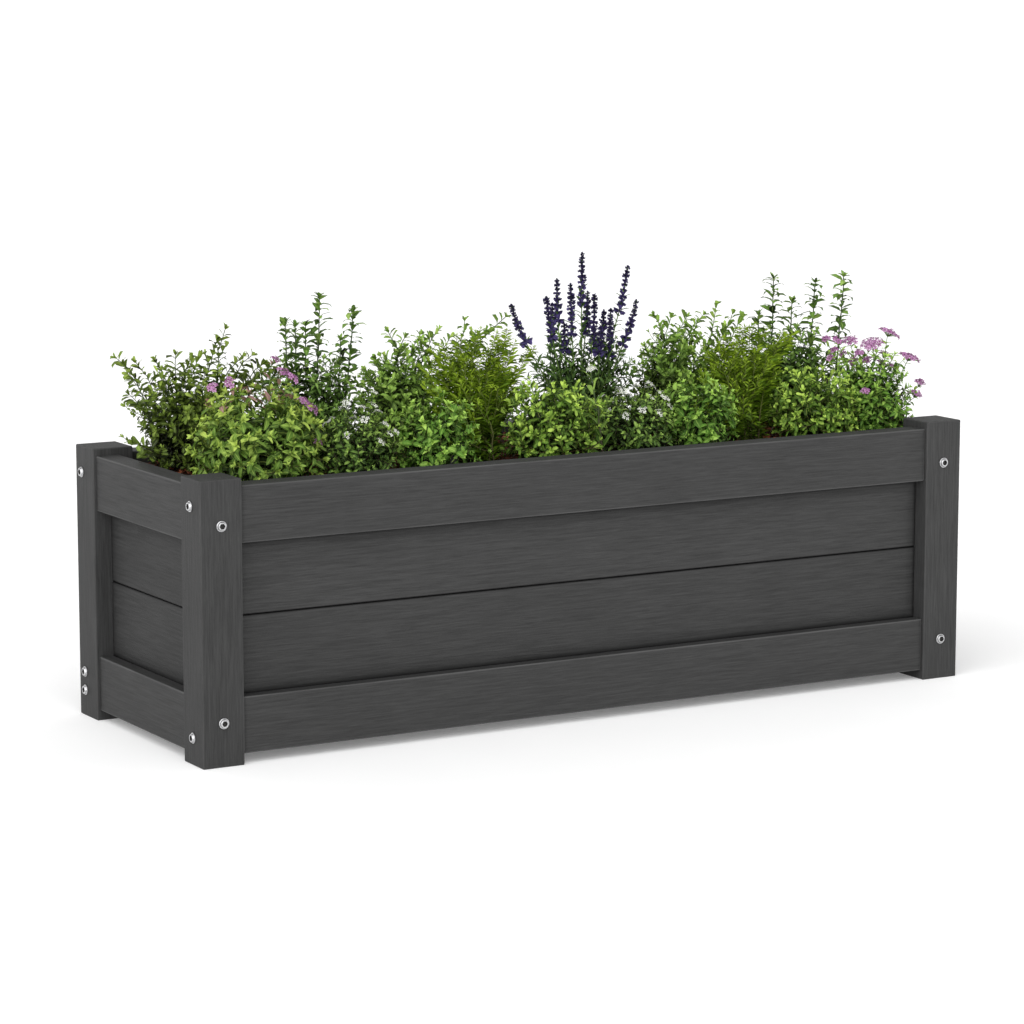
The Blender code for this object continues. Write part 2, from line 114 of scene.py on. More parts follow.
# ---- material nets
class Net:
    """A material's or the world's node tree, with short calls for the nodes used here."""

    def __init__(self, name, kind="materials", shader="Principled BSDF"):
        self.data = getattr(bpy.data, kind).new(name)
        self.data.use_nodes = True
        self.tree = self.data.node_tree
        self.shader = self.tree.nodes[shader]

    def put(self, socket, value):
        if isinstance(value, bpy.types.NodeSocket):
            self.tree.links.new(value, socket)
        else:
            socket.default_value = value

    def node(self, kind, *places, **inputs):
        """A new node, with its first inputs given in order or others by name."""
        node = self.tree.nodes.new("ShaderNode" + kind)
        for key, value in (*enumerate(places), *inputs.items()):
            self.put(node.inputs[key], value)
        return node

    def coords(self, scale=(1, 1, 1), shift=(0, 0, 0)):
        source = self.node("TexCoord").outputs["Object"]
        return self.node("Mapping", source, Location=shift, Scale=scale).outputs[0]

    def axes(self, source="Object"):
        """The three coordinates, each as a number."""
        return self.node("SeparateXYZ", self.node("TexCoord").outputs[source]).outputs

    def noise(self, scale, detail=3, roughness=0.5, distortion=0, coords=None):
        return self.node("TexNoise", Vector=coords or self.coords(), Scale=scale, Detail=detail,
                         Roughness=roughness, Distortion=distortion).outputs["Fac"]

    def ramp(self, factor, *stops):
        """Colours, greys or hexadecimal display colours at places along a factor."""
        node = self.node("ValToRGB", factor)
        elements = node.color_ramp.elements
        while len(elements) < len(stops):
            elements.new(0.5)
        for element, (place, colour) in zip(elements, stops):
            colour = rgb(colour) if isinstance(colour, str) else colour
            element.position = place
            element.color = (*(colour if isinstance(colour, tuple) else (colour,) * 3), 1)
        return node.outputs["Color"]

    def spread(self, noise, low, high):
        """From one value to another over the range in which a noise mostly lies."""
        return self.ramp(noise, (0.3, low), (0.7, high))

    def mix(self, factor, first, second, blend="MIX"):
        node = self.node("Mix")
        node.data_type = "RGBA"
        node.blend_type = blend
        for key, value in ((0, factor), (6, first), (7, second)):
            self.put(node.inputs[key], (*value, 1) if isinstance(value, tuple) else value)
        return node.outputs[2]

    def darken(self, colour, share, shade):
        return self.mix(share, colour, shade, "MULTIPLY")

    def mottle(self, colour, share, noise, low):
        """Darkens a colour in patches, where a noise is low."""
        return self.darken(colour, share, self.spread(noise, low, 1))

    def math(self, operation, *values):
        node = self.node("Math", *values)
        node.operation = operation
        return node.outputs[0]

    def attribute(self, name):
        node = self.node("Attribute")
        node.attribute_name = name
        return self.node("SeparateColor", node.outputs["Color"]).outputs

    def bump(self, height, strength, distance):
        node = self.node("Bump", Strength=strength, Distance=distance, Height=height)
        self.put(self.shader.inputs["Normal"], node.outputs["Normal"])

    def shade(self, colour, roughness, specular=0.5, metallic=0, glow=0):
        for name, value in (("Base Color", colour), ("Roughness", roughness),
                            ("Specular IOR Level", specular), ("Metallic", metallic),
                            ("Emission Strength", glow)):
            self.put(self.shader.inputs[name], value)
        return self.data

    def let_light_through(self, colour, share):
        """Mix in a Translucent shader, as a thin leaf or petal lets light through."""
        thin = self.node("BsdfTranslucent", colour)
        mixer = self.node("MixShader", share, self.shader.outputs[0], thin.outputs[0])
        self.put(self.tree.nodes["Material Output"].inputs["Surface"], mixer.outputs[0])
        return self.data


def rgb(code):
    """A hexadecimal display colour as linear light."""
    return tuple((c / 255 / 12.92) if c < 11 else ((c / 255 + 0.055) / 1.055) ** 2.4
                 for c in bytes.fromhex(code))


# ---- painted timber
GRAIN_ACROSS, GRAIN_ALONG = 62, 2.6
WOOD_TONE = (0.0424, 0.0424, 0.0422)
WOOD_DARK, WOOD_PALE = 0.56, 1.37
EDGE_HIGHLIGHT_TONE = 2.3
EDGE_HIGHLIGHT_WIDTH = 0.0024  # width of the painted highlight along each arris
CORNER_SHADE = 0.017  # width of the painted shade where boards meet
WINDOW = (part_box("rail_front_lower")[1][2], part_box("rail_front_upper")[0][2])
SEAM = (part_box("plank_front_lower")[1][2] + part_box("plank_front_upper")[0][2]) / 2
SEAM_WIDTH = 0.0024
# painted shade: the recessed end planks darker
END_PLANK_SHADE = 0.86
EDGE_HIGHLIGHT_SHARE = {"rail": 1, "post": 0.25, "plank": 0, "bearer": 0.2, "floor": 0.2}


def distance_to(net, coordinate, place):
    return net.math("ABSOLUTE", net.math("SUBTRACT", coordinate, float(place)))


def arris(net, axes, low, high):
    """1 on the edges of a board, falling to 0 a little way in on each face."""
    inset = [net.math("SUBTRACT", float(end - start) / 2,
                      distance_to(net, coordinate, (start + end) / 2))
             for coordinate, start, end in zip(axes, low, high)]
    least = net.math("MINIMUM", inset[0], inset[1])
    most = net.math("MAXIMUM", inset[0], inset[1])
    second = net.math("MAXIMUM", least, net.math("MINIMUM", most, inset[2]))
    return net.ramp(net.math("DIVIDE", second, EDGE_HIGHLIGHT_WIDTH), (0.3, 1), (1, 0))


def corner_shade(net, axes, kind, end_board):
    """Painted shade: the darker margin of a board where it meets the posts, and of a plank where
    it meets the rails.
    """
    along = 1 if end_board else 0
    limits = [(along, sign * POST_HIGH[along]) for sign in (-1, 1)]
    width = 0.4 * CORNER_SHADE
    if kind == "plank":
        limits += [(2, z) for z in WINDOW]
        width = CORNER_SHADE
    nearest, *others = [distance_to(net, axes[axis], place) for axis, place in limits]
    for away in others:
        nearest = net.math("MINIMUM", nearest, away)
    shade = net.ramp(net.math("DIVIDE", nearest, width),
                     (0, 0.05), (0.12, 0.3), (0.38, 0.8), (1, 1))
    if kind == "plank":
        seam = net.math("DIVIDE", distance_to(net, axes[2], SEAM), SEAM_WIDTH)
        shade = net.darken(shade, 1, net.ramp(seam, (0.35, 0.1), (1, 1)))
    return shade


def painted_wood(node, kind, number):
    """Dark grey stain on brushed softwood, its grain running along the board, with painted shade
    and a painted edge highlight.
    """
    net = Net(f"wood_{node}")
    low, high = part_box(node)
    extent = list(high - low)
    grain = [GRAIN_ALONG if size == max(extent) else GRAIN_ACROSS for size in extent]
    shift = number * 3.1
    end_board = node.split("_")[1] in ("left", "right")
    tone = 1 + 0.035 * math.sin(number * 2.4)
    # painted shade on the recessed end planks
    if kind == "plank" and end_board:
        tone *= END_PLANK_SHADE
    axes = net.axes()
    fine = net.coords(grain, (shift, shift * 1.7, shift * 2.3))
    fibres = net.noise(17, 6, 0.72, 0.2, fine)
    bands = net.noise(6.2, 5, 0.62, 0.5, fine)
    patches = net.noise(7, 4)
    dark, pale = (tuple(c * tone * k for c in WOOD_TONE) for k in (WOOD_DARK, WOOD_PALE))
    colour, fibre_colour = (net.ramp(n, (0.32, dark), (0.68, pale)) for n in (bands, fibres))
    colour = net.mottle(net.mix(0.45, colour, fibre_colour), 0.5, patches, 0.82)
    # painted shade: the timber darker towards the bottom of the bed
    colour = net.darken(colour, 1, net.ramp(
        net.math("DIVIDE", axes[2], float(POST_HIGH[2])), (0, 0.8), (0.35, 0.92), (1, 1)))
    # painted shade along the margins where the boards meet
    if kind in ("rail", "plank"):
        colour = net.darken(colour, 1, corner_shade(net, axes, kind, end_board))
    # a painted highlight along the edges of the board, in patches
    edge_highlight = net.math("MULTIPLY", arris(net, axes, low, high),
                   net.ramp(patches, (0.35, 0.35), (0.65, 0.75)))
    edge_highlight = net.math("MULTIPLY", edge_highlight, EDGE_HIGHLIGHT_SHARE[kind])
    colour = net.mix(edge_highlight, colour, tuple(c * EDGE_HIGHLIGHT_TONE for c in WOOD_TONE))
    net.bump(net.math("ADD", fibres, net.math("MULTIPLY", bands, 0.9)), 0.5, 0.0009)
    return net.shade(colour, net.spread(fibres, 0.6, 0.76), specular=0.2)


def finish_timber():
    for number, (name, obj) in enumerate(sorted(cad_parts.items())):
        kind = name.split("_")[0]
        if kind in EDGE_HIGHLIGHT_SHARE:
            obj.data.materials.clear()
            obj.data.materials.append(painted_wood(name, kind, number))


# ---- meshes
GOLDEN = math.radians(137.508)
OVATE = ((0.18, 0.45, 0.78), 0.74, 0.9)  # rows along the blade, widest place, bluntness
LANCE = ((0.3, 0.68), 0.95, 0.75)
NARROW = ((0.3, 0.7), 0.9, 0.8)
OVAL = ((0.28, 0.74), 1.05, 0.65)
SPOON = ((0.4, 0.8), 1.6, 0.7)
PETAL = ((0.35, 0.8), 1.9, 0.6)
STEM_SIDES = 4
TUBE_SIDE = (0.83, 0.55, 0.08)  # directions that few stems or flowers point in
SHOOT_SIDE = (0.31, 0.94, 0.12)
FLOWER_SIDE = (0.9, 0.3, 0.2)
FLATTEST = 0.05  # least curl of a blade, in radians


def unit(vectors):
    length = np.linalg.norm(vectors, axis=-1, keepdims=True)
    return vectors / np.maximum(length, 1e-9)


def square_to(axis, vectors):
    return unit(vectors - axis * np.sum(axis * vectors, axis=-1, keepdims=True))


def around(turn, first, second):
    """Directions at some angles in the plane of two others."""
    return np.cos(turn)[..., None] * first + np.sin(turn)[..., None] * second


def distances(curve):
    """How far along a curve each of its points is."""
    return np.append(0, np.cumsum(np.linalg.norm(np.diff(curve, axis=0), axis=1)))


def sample(values, along, places):
    return np.stack([np.interp(places, along, values[:, k]) for k in range(3)], -1)


def new_piece(name, points, faces, material, smooth=True):
    """A mesh object from an array of points and a list of faces, riding on the bed."""
    mesh = bpy.data.meshes.new(name)
    mesh.from_pydata(points.tolist(), [], faces)
    mesh.polygons.foreach_set("use_smooth", np.full(len(mesh.polygons), smooth))
    mesh.materials.append(material)
    mesh.update()
    obj = in_scene(name, mesh)
    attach(obj, BODY)
    return obj


def paint(obj, name, values):
    """Stores three numbers for each point, for the material to read."""
    layer = obj.data.color_attributes.new(name, "FLOAT_COLOR", "POINT")
    full = np.ones((len(values), 4))
    full[:, :3] = values
    layer.data.foreach_set("color", full.ravel())


def tube_faces(start, rings, sides):
    """Faces of a closed tube of point rings: one end, the walls, the other end."""
    last = start + (rings - 1) * sides
    walls = [(a + j, a + (j + 1) % sides, a + sides + (j + 1) % sides, a + sides + j)
             for a in range(start, last, sides) for j in range(sides)]
    return [tuple(range(start + sides - 1, start - 1, -1)), *walls,
            tuple(range(last, last + sides))]


class Blades:
    """Many small leaves or petals of one outline, kept as arrays until they become a mesh."""

    def __init__(self, form):
        self.rows, self.widest, self.blunt = form
        self.parts = []

    def add(self, base, axis, normal, *numbers):
        """The numbers are length, width, curl, fold and tint, each one or one for every blade."""
        axis = unit(axis)
        self.parts.append((base, axis, square_to(axis, normal),
                           *(np.broadcast_to(n, len(base)).astype(float) for n in numbers)))

    def piece(self, name, material):
        values = [np.concatenate(part) for part in zip(*self.parts)]
        base, axis, normal, length, _, curl, _, _ = values
        values[5] = curl = np.where(np.abs(curl) < FLATTEST, FLATTEST, curl)
        sag = (1 - np.cos(curl)) / curl * length
        keep = (clear_of_box(base) & clear_of_box(base + axis * length[:, None])
                & clear_of_box(base + axis * (0.9 * length)[:, None] - normal * sag[:, None]))
        base, axis, normal, length, width, curl, fold, tint = (v[keep] for v in values)
        side = np.cross(axis, normal)
        count, rows = len(base), len(self.rows)
        size = 3 * rows + 2  # points of a blade: its two ends, and three to a row
        points, marks = np.empty((2, count, size, 3))
        marks[:, :, 0] = tint[:, None]
        stretch = length / curl

        def spine(t):
            turn = (curl * t)[:, None]
            place = base + stretch[:, None] * (np.sin(turn) * axis
                                               - (1 - np.cos(turn)) * normal)
            return place, np.cos(turn) * normal + np.sin(turn) * axis

        for row, t in enumerate(self.rows):
            place, facing = spine(t)
            half = 0.5 * width * math.sin(math.pi * t ** self.widest) ** self.blunt
            out = side * (half * np.cos(fold))[:, None]
            rise = facing * (half * np.sin(fold))[:, None]
            for column, point in enumerate((place - out + rise, place, place + out + rise)):
                points[:, 1 + 3 * row + column] = point
                marks[:, 1 + 3 * row + column, 1:] = t, float(column != 1)
        points[:, 0], points[:, -1] = base, spine(1)[0]
        marks[:, 0, 1:], marks[:, -1, 1:] = (0, 0.3), (1, 0.3)
        last = size - 4
        tris = [(0, 3, 2), (0, 2, 1), (last + 1, last + 2, last + 3), (last, last + 1, last + 3)]
        quads = [(a + k, a + k + 1, a + k + 4, a + k + 3)
                 for a in range(1, last, 3) for k in (1, 0)]
        shift = np.arange(count)[:, None, None] * size
        faces = [face for group in (tris, quads)
                 for face in (np.array(group) + shift).reshape(-1, len(group[0])).tolist()]
        obj = new_piece(name, points.reshape(-1, 3), faces, material)
        paint(obj, "blade", marks.reshape(-1, 3))
        return obj


class Tubes:
    """Stems and stalks: round, tapering, closed at both ends."""

    def __init__(self):
        self.parts = {}

    def add(self, curve, thick, thin):
        self.parts.setdefault(len(curve), []).append((curve, thick, thin))

    def piece(self, name, material):
        points, faces, start = [], [], 0
        turn = np.arange(STEM_SIDES) * FULL_TURN / STEM_SIDES
        for count, group in self.parts.items():
            curves, thick, thin = (np.array(values) for values in zip(*group))
            radius = thick[:, None] + (thin - thick)[:, None] * np.linspace(0, 1, count)
            ahead = unit(np.gradient(curves, axis=1))
            first = square_to(ahead, TUBE_SIDE)
            ring = around(turn, first[:, :, None], np.cross(ahead, first)[:, :, None])
            rings = curves[:, :, None] + ring * radius[:, :, None, None]
            points.append(rings.reshape(-1, 3))
            for _ in group:
                faces += tube_faces(start, count, STEM_SIDES)
                start += count * STEM_SIDES
        return new_piece(name, np.concatenate(points), faces, material)


# ---- how plants grow
EDGE_CLEAR = 0.002  # between foliage and the timber beside it
VIEW_SLANT = math.tan(math.radians(-CAMERA_AZIMUTH))
DOME_REACH = math.cos(math.radians(98))  # of the angle at which the lowest stems lean out
DOME_SQUARENESS = 0.75
LOWEST_TIP = 0.012
BLUSHING_LEAVES = 0.3  # share of the high leaves
CLOSED_PETALS = 3
USUAL_HABIT = dict(  # how a species sets its leaves along a stem
    each=2, turn=90, angle=58, bare=0.15, taper=0.35, curl=0.7, fold=0.35, face_up=0.3,
    face_out=0.6, roll=0.35, lift=-0.1, rosette=5, age=0.24, young=0.5, scatter=0.14, blush=9)


def clear_of_box(points):
    """False for a point that would be in the boards, rails or posts round the soil."""
    x, y, z = np.abs(points[:, 0]), np.abs(points[:, 1]), points[:, 2]
    over_rail = (x > SOIL_HIGH[0] - EDGE_CLEAR) | (y > SOIL_HIGH[1] - EDGE_CLEAR)
    over_post = (x > abs(POST_HIGH[0]) - EDGE_CLEAR) & (y > abs(POST_HIGH[1]) - EDGE_CLEAR)
    low = z < RAIL_TOP + EDGE_CLEAR
    return ~((over_rail & low) | (over_post & (z < POST_HIGH[2] + EDGE_CLEAR)))


def bezier(first, second, third, fourth, count):
    t = np.linspace(0, 1, count)[:, None]
    return ((1 - t) ** 3 * first + 3 * (1 - t) ** 2 * t * second
            + 3 * (1 - t) * t * t * third + t ** 3 * fourth)


class Plant:
    """One plant of the bed, grown in place of the CAD node of the same name."""

    def __init__(self, node, seed, form, **habit):
        self.node, self.habit = node, dict(USUAL_HABIT, **habit)
        low, high = (np.array(corner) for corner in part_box(node))
        self.foot = np.array(((low[0] + high[0]) / 2, (low[1] + high[1]) / 2, GROUND))
        self.rng = np.random.default_rng(seed)
        self.leaves, self.petals, self.stems = Blades(form), Blades(PETAL), Tubes()

    def at(self, x, y, z):
        """A point given from the plant's foot on the mulch."""
        return self.foot + np.array((x, y, z))

    def seen(self, x, y, z):
        """The same, for a tip that stands y behind the place where it is seen from the front."""
        return self.at(x + VIEW_SLANT * y, y, z)

    def leafy(self, curve, size=1, side=None, **changes):
        """Sets leaves along a stem, and a rosette of small ones at its tip."""
        way, rng = dict(self.habit, **changes), self.rng
        pitch, scatter, each, tips = (way[key] for key in ("pitch", "scatter", "each", "rosette"))
        along = distances(curve)
        total = along[-1]
        places = np.arange(total * way["bare"], total - 0.2 * pitch, pitch)
        if not len(places):
            places = np.array([0.6 * total])
        nodes = np.repeat(np.arange(len(places)), each)
        turns = (np.radians(way["turn"]) * nodes
                 + np.tile(np.arange(each), len(places)) * FULL_TURN / each)
        places = places[nodes] + rng.normal(0, 0.1 * pitch, len(nodes))
        places = np.append(places, np.full(tips, total))
        turns = np.append(turns, np.arange(tips) * GOLDEN)
        count = len(places)
        at_tip = np.arange(count) >= len(nodes)
        turns = turns + rng.uniform(0, 6.28) * (side is None) + rng.normal(0, scatter, count)
        share = np.clip(places / total, 0, 1)
        base = sample(curve, along, places)
        ahead = unit(sample(unit(np.gradient(curve, axis=0)), along, places))
        first = square_to(ahead, SHOOT_SIDE if side is None else side)
        out = around(turns, first, np.cross(ahead, first))
        angle = np.radians(way["angle"]) * np.where(
            at_tip, rng.uniform(0.25, 0.7, count), 1 - 0.3 * share ** 3)
        angle = angle + rng.normal(0, scatter, count)
        cos, sin = np.cos(angle)[:, None], np.sin(angle)[:, None]
        axis = unit(cos * ahead + sin * out + way["lift"] * UP)
        outward = unit((base - self.foot) * (1, 1, 0.5))
        normal = (sin * ahead - cos * out + way["face_up"] * UP + way["face_out"] * outward
                  + rng.normal(0, scatter, axis.shape))
        normal = normal + rng.normal(0, way["roll"], (count, 1)) * np.cross(axis, unit(normal))
        length = way["length"] * size * (1 - way["taper"] * share ** 2)
        length = length * rng.uniform(0.78, 1.16, count) * np.where(at_tip, 0.66, 1)
        width = length * way["ratio"] * rng.uniform(0.86, 1.14, count)
        curl = way["curl"] * rng.normal(1, 0.35, count) * np.where(at_tip, 0.5, 1)
        fold = way["fold"] * rng.uniform(0.5, 1.5, count) * np.where(at_tip, 1.5, 1)
        # painted shade and light: leaves deep in the plant and low down get a darker tint, high
        # ones a lighter one
        depth = np.linalg.norm((base - self.foot) / self.spread, axis=1)
        tint = way["age"] + way["young"] * share ** 1.5 + rng.normal(0, 0.13, count)
        height = np.clip((base[:, 2] - GROUND) / self.spread[2], 0, 1.1)
        tint = np.clip(tint * np.clip((depth - 0.4) / 0.5, 0.03, 1)
                       * (0.72 + 0.42 * height), 0, 0.92)
        blushing = (base[:, 2] > GROUND + way["blush"]) & (rng.random(count) < BLUSHING_LEAVES)
        self.leaves.add(base, axis, normal, length, width, curl, fold,
                        np.where(blushing, 1, tint))

    def stem(self, start, tip, lean, thick=0.0011, thin=0.0005, count=8, wobble=0.007):
        """A stem that leaves the ground upright and bends over towards its tip."""
        span = np.linalg.norm(tip - start)
        second = start + (UP * 0.8 + unit(tip - start) * 0.5) * span * 0.33
        third = tip - unit(unit(tip - start) + lean) * span * 0.3
        drift = self.rng.normal(0, wobble * span, (count, 3))
        drift[(0, -1), :] = 0
        curve = bezier(start, second, third, tip, count) + drift
        self.stems.add(curve, thick, thin)
        return curve

    def twigs(self, curve, number, reach, low=0.3, high=0.88):
        """Short leafy side shoots from the upper part of a stem."""
        rng = self.rng
        turn = rng.uniform(0, 6.28)
        for k in range(number):
            share = low + (high - low) * (k + rng.uniform(0.1, 0.9)) / number
            index = share * (len(curve) - 1)
            lower = min(int(index), len(curve) - 2)
            foot = curve[lower] + (curve[lower + 1] - curve[lower]) * (index - lower)
            ahead = unit(curve[lower + 1] - curve[lower])
            turn += GOLDEN
            first = square_to(ahead, SHOOT_SIDE)
            out = math.cos(turn) * first + math.sin(turn) * np.cross(ahead, first)
            length = reach * rng.uniform(0.65, 1.2) * (1.15 - 0.5 * share)
            tip = foot + unit(ahead * 0.55 + out * 0.85 + UP * 0.25) * length
            tip[2] = max(tip[2], GROUND + 0.01)
            middle = foot + unit(ahead + out) * length * 0.4
            twig = bezier(foot, middle, tip - UP * 0.125 * length, tip, 4)
            self.stems.add(twig, 0.0006, 0.0003)
            self.leafy(twig, size=0.85, bare=0.12)

    def mound(self, stems, rx, ry, top, twigs, reach, lean, x=0):
        """A dome of leafy stems that spread from the foot, low ones leaning right out."""
        rng = self.rng
        self.spread = np.array((rx, ry, top))
        centre = self.at(x, 0, 0)
        for k in range(stems):
            polar = math.acos(1 - (k + 0.5) / stems * (1 - DOME_REACH))
            turn = k * GOLDEN + rng.normal(0, 0.12)
            part = rng.uniform(0.55, 0.8) if k % 4 == 3 else rng.uniform(0.88, 1.04)
            flat = np.array((math.cos(turn) * rx, math.sin(turn) * ry, 0))
            flat = flat * math.sin(polar) ** DOME_SQUARENESS
            height = top * max(math.cos(polar), 0) ** DOME_SQUARENESS
            tip = centre + part * flat + UP * max(part * height, LOWEST_TIP + 0.02 * rng.random())
            start = centre + 0.2 * flat - UP * 0.003 + np.append(rng.normal(0, 0.004, 2), 0)
            curve = self.stem(start, tip, unit(flat + 1e-6) * lean)
            self.leafy(curve)
            self.twigs(curve, twigs, reach)

    def headed(self, foot, tip, lean, size, *look, bare=0.15, **more):
        """A leafy stem that ends in an umbel."""
        self.leafy(self.stem(self.at(*foot, 0), tip, lean), size=size, bare=bare)
        self.umbel(tip, *look, **more)

    def umbel(self, tip, facing, radius, florets, petal, stalk=0.012, tint=0.5, petals=5,
              ratio=0.72):
        """A flat-topped cluster of small flowers, each on its own stalk from the stem's tip.
        Petals spread round each one, and a few short ones close its middle."""
        rng = self.rng
        facing = unit(np.array(facing, dtype=float))
        first = square_to(facing, FLOWER_SIDE)
        order = np.arange(florets)
        spread = radius * np.sqrt((order + 0.5) / florets)
        flat = around(order * GOLDEN, first, np.cross(facing, first))
        rise = stalk * (1 - 0.42 * (spread / radius) ** 2) + rng.normal(0, 0.0009, florets)
        heads = tip + flat * spread[:, None] + facing * rise[:, None]
        for head in heads:
            bend = tip + (head - tip) * 0.5 + facing * 0.0015
            self.stems.add(np.array((tip, bend, head)), 0.0004, 0.0003)
        looks = unit(facing + flat * (0.8 * spread / radius)[:, None]
                     + rng.normal(0, 0.22, (florets, 3)))
        first = square_to(looks, FLOWER_SIDE)
        second = np.cross(looks, first)
        offset = rng.uniform(0, 6.28, florets)
        tints = np.clip(tint + rng.normal(0, 0.16, florets), 0.12, 0.98)
        for k in range(petals):
            out = around(offset + k * FULL_TURN / petals, first, second)
            length = petal * rng.uniform(0.85, 1.15, florets)
            self.petals.add(heads, out + looks * 0.25, looks - out * 0.25, length,
                            length * ratio, 0.35, 0.12, tints)
        for k in range(CLOSED_PETALS):
            out = around(offset + 1 + k * FULL_TURN / CLOSED_PETALS, first, second)
            self.petals.add(heads, looks + out * 0.35, looks * 0.3 - out, petal * 0.42,
                            petal * 0.3, 0.3, 0.3, 0.04)

    def finish(self, leaf, stem, petal=None):
        """Turns what has grown into pieces with their materials."""
        leaves = self.leaves.piece(f"{self.node}_leaves", leaf)
        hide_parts(self.node)
        self.stems.piece(f"{self.node}_stems", stem)
        if petal:
            self.petals.piece(f"{self.node}_flowers", petal)


# ---- materials of the plants
LEAF_THROUGH = 0.16  # share of the light that passes through
LIGHT_IN_LEAF = (1, 0.98, 0.55)


def leaf_material(name, deep, middle, young, rough=0.56, blush=None):
    """A leaf's green from its tint, which holds its age and painted shade deep in the plant, with
    a pale midrib, darker blade base and patchy mottling.
    """
    net = Net(f"leaf_{name}_green")
    tint, along, edge = net.attribute("blade")[:3]
    stops = [(0, deep), (0.42, middle), (0.85, young)]
    if blush:
        stops += [(0.93, young), (0.97, blush)]
    patches, veins = net.noise(420), net.noise(900, 2)
    colour = net.mottle(net.ramp(tint, *stops), 0.5, patches, 0.72)
    colour = net.darken(colour, 0.6, net.ramp(along, (0, 0.66), (0.5, 1)))
    pale = tuple(min(1, c * 1.7 + 0.02) for c in rgb(young))
    colour = net.mix(net.ramp(edge, (0, 0.34), (0.16, 0)), colour, pale)
    net.bump(net.math("ADD", veins, net.math("MULTIPLY", edge, 0.8)), 0.3, 0.0004)
    net.shade(colour, net.spread(patches, rough - 0.06, rough + 0.08), specular=0.2)
    return net.let_light_through(net.darken(colour, 1, LIGHT_IN_LEAF), LEAF_THROUGH)


def petal_material(name, heart, middle, pale, through=0.3):
    """Petals, darker at the throat and paler to the rim, each flower a little different."""
    net = Net(f"petal_{name}")
    tint, along, edge = net.attribute("blade")[:3]
    colour = net.ramp(tint, (0.05, heart), (0.12, middle), (0.85, pale))
    colour = net.darken(colour, 0.7, net.ramp(along, (0, 0.55), (0.55, 1)))
    speckle = net.noise(700, 2)
    colour = net.mottle(colour, 0.35, speckle, 0.74)
    net.bump(net.math("ADD", speckle, net.math("MULTIPLY", edge, 0.5)), 0.2, 0.0003)
    net.shade(colour, net.spread(speckle, 0.5, 0.65), specular=0.3)
    return net.let_light_through(colour, through)


def stem_material(name, low, high):
    """Stems: woody and dull near the soil, greener above, with fine bark bump."""
    net = Net(f"stem_{name}")
    height = net.math("MULTIPLY", net.math("SUBTRACT", net.axes()[2], GROUND), 7)
    grain = net.noise(600, coords=net.coords((1, 1, 0.25)))
    colour = net.mix(net.ramp(height, (0.1, 0), (0.7, 1)), rgb(low), rgb(high))
    net.bump(grain, 0.4, 0.0004)
    colour = net.mottle(colour, 0.5, grain, 0.68)
    return net.shade(colour, net.spread(grain, 0.55, 0.75), specular=0.3)


# ---- the sixteen plants
ALYSSUM_HEADS = 16
SMALL_HEADS = 0, 1, 2, 7  # of the pink shrub's


def metres(*tips):
    """Places given in millimetres, each perhaps with other values after its first three."""
    return [(x / 1000, y / 1000, z / 1000, *more) for x, y, z, *more in tips]


def grow_shrub_pink(leaf, stem, petal):
    plant = Plant("shrub_pink", 11, OVATE, length=0.024, ratio=0.46, pitch=0.0122, angle=62,
                  curl=0.8, face_up=0.4, face_out=0.9, lift=-0.25, blush=0.098)
    plant.mound(60, 0.096, 0.084, 0.126, 4, 0.036, 0.55)
    heads = metres((-58, -30, 137), (-34, -20, 141), (20, 30, 160), (34, 20, 144),
                   (46, 10, 138), (64, -5, 106), (76, -12, 98), (86, -20, 52))
    for number, (x, y, z) in enumerate(heads):
        radius, florets = (0.0068, 8) if number in SMALL_HEADS else (0.0105, 16)
        plant.headed((0.3 * x, 0.3 * y), plant.seen(x, y, z - 0.01),
                     unit(np.array((x, y, 0))) * 0.2, 0.8, (0.5 * np.sign(x), -0.25, 1),
                     radius, florets, 0.0042)
    plant.finish(leaf, stem, petal)


def grow_dome(node, seed, form, mound, leaf, stem, slot, **habit):
    """A plant that is leaves alone."""
    plant = Plant(node, seed, form, **habit)
    plant.mound(*mound)
    plant.finish(leaf, stem)


def grow_alyssum(node, seed, leaf, stem, petal, stalk=False):
    """A low dome dotted with white heads, and on one of them a taller broad-leaved stalk."""
    plant = Plant(node, seed, OVAL, length=0.0162, ratio=0.46, pitch=0.0089, angle=60, curl=0.6,
                  face_out=0.8, lift=-0.15, taper=0.45)
    plant.mound(44, 0.062, 0.076, 0.08, 4, 0.03, 0.4)
    small = dict(petals=4, stalk=0.006, ratio=0.85, tint=0.55)
    for k in range(ALYSSUM_HEADS):
        turn, out = k * GOLDEN, 0.35 + 0.62 * ((k + 0.5) / ALYSSUM_HEADS)
        x, y = 0.008 + 0.05 * math.cos(turn) * out, 0.066 * math.sin(turn) * out
        z = 0.098 * math.sqrt(max(1 - 0.72 * out * out, 0.05)) + plant.rng.normal(0, 0.007)
        plant.headed((0.3 * x, 0.3 * y), plant.at(x, y, z - 0.006),
                     np.array((x, y, 0)) * 4, 0.75,
                     (0.6 * np.sign(x) * out, 0.6 * np.sign(y) * out, 1), 0.0062, 8, 0.0026,
                     **small)
    if stalk:
        tip = plant.seen(-0.068, -0.03, 0.122)
        curve = plant.stem(plant.seen(-0.05, -0.062, 0), tip, UP * 0.8, 0.002, 0.001, 12)
        plant.leafy(curve, bare=0.05, length=0.032, ratio=0.32, pitch=0.0085, turn=137.5, each=1,
                    taper=0.5, angle=32, young=0.25, age=0.46)
        plant.umbel(tip, (-0.2, -0.3, 1), 0.0072, 14, 0.003, **small)
    plant.finish(leaf, stem, petal)


